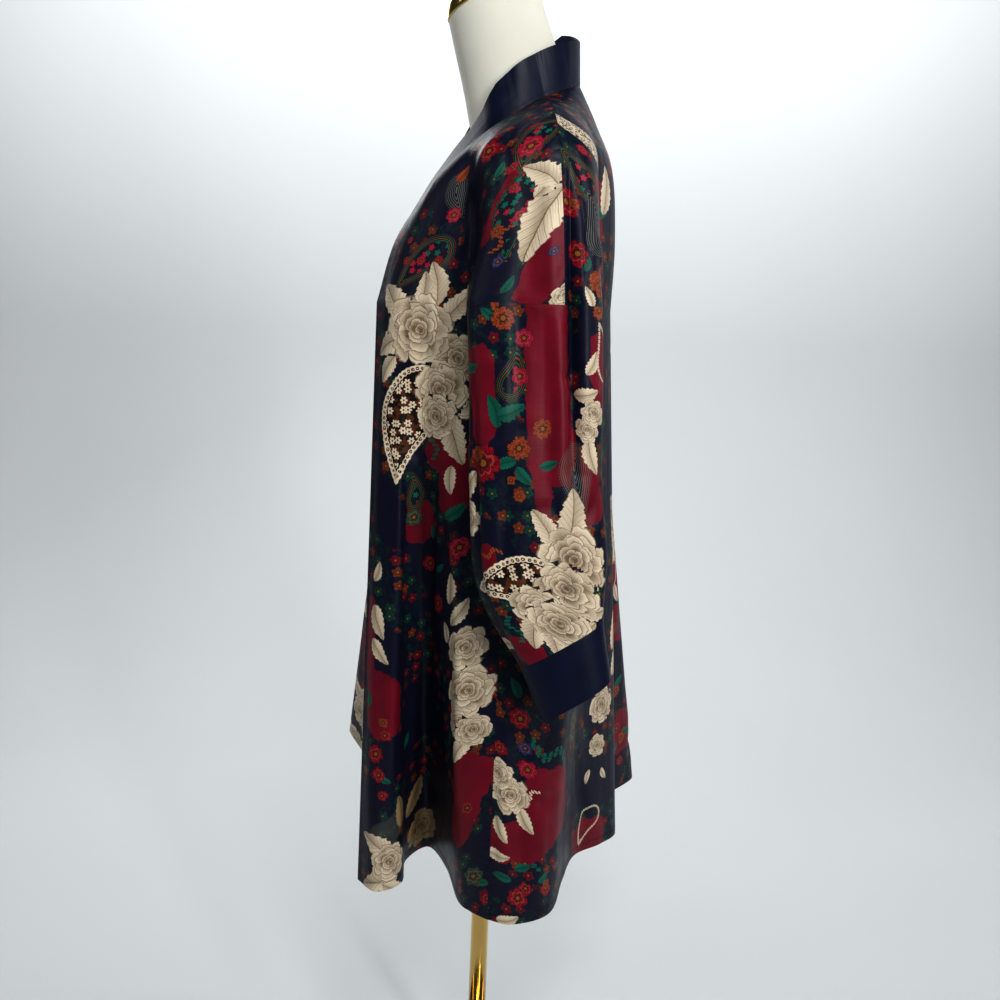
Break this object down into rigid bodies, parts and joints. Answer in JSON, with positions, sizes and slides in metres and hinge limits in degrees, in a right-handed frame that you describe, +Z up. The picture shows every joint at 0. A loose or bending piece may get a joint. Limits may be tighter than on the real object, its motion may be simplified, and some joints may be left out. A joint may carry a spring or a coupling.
{
  "type": "kimono robe on a limbless dress form",
  "caption": "Open-front kimono robe with a band collar, loose cuffed sleeves and a flared, folded hem, worn by a limbless dress form on a pole stand.",
  "frame": {"origin": "middle of the stand's underside, on the floor", "axes": "+Z up along the pole, -Y the way the garment faces, +X the wearer's left"},
  "size_m": [0.5664, 0.4985, 1.6524],
  "materials": {
    "print_satin": "printed satin, high sheen",
    "plain_satin": "plain satin, high sheen",
    "jersey": "matt stretched jersey",
    "gold": "polished"
  },
  "bodies": {
    "root": {"back_panel": "print_satin", "front_panel_left": "print_satin", "front_panel_right": "print_satin", "sleeve_left": "print_satin", "sleeve_right": "print_satin", "cuff_left": "plain_satin", "cuff_right": "plain_satin", "band_left": "plain_satin", "band_right": "plain_satin", "form_torso": "jersey", "neck_cap": "gold", "stand_pole": "gold", "stand_base": "gold"}
  },
  "joints": []
}
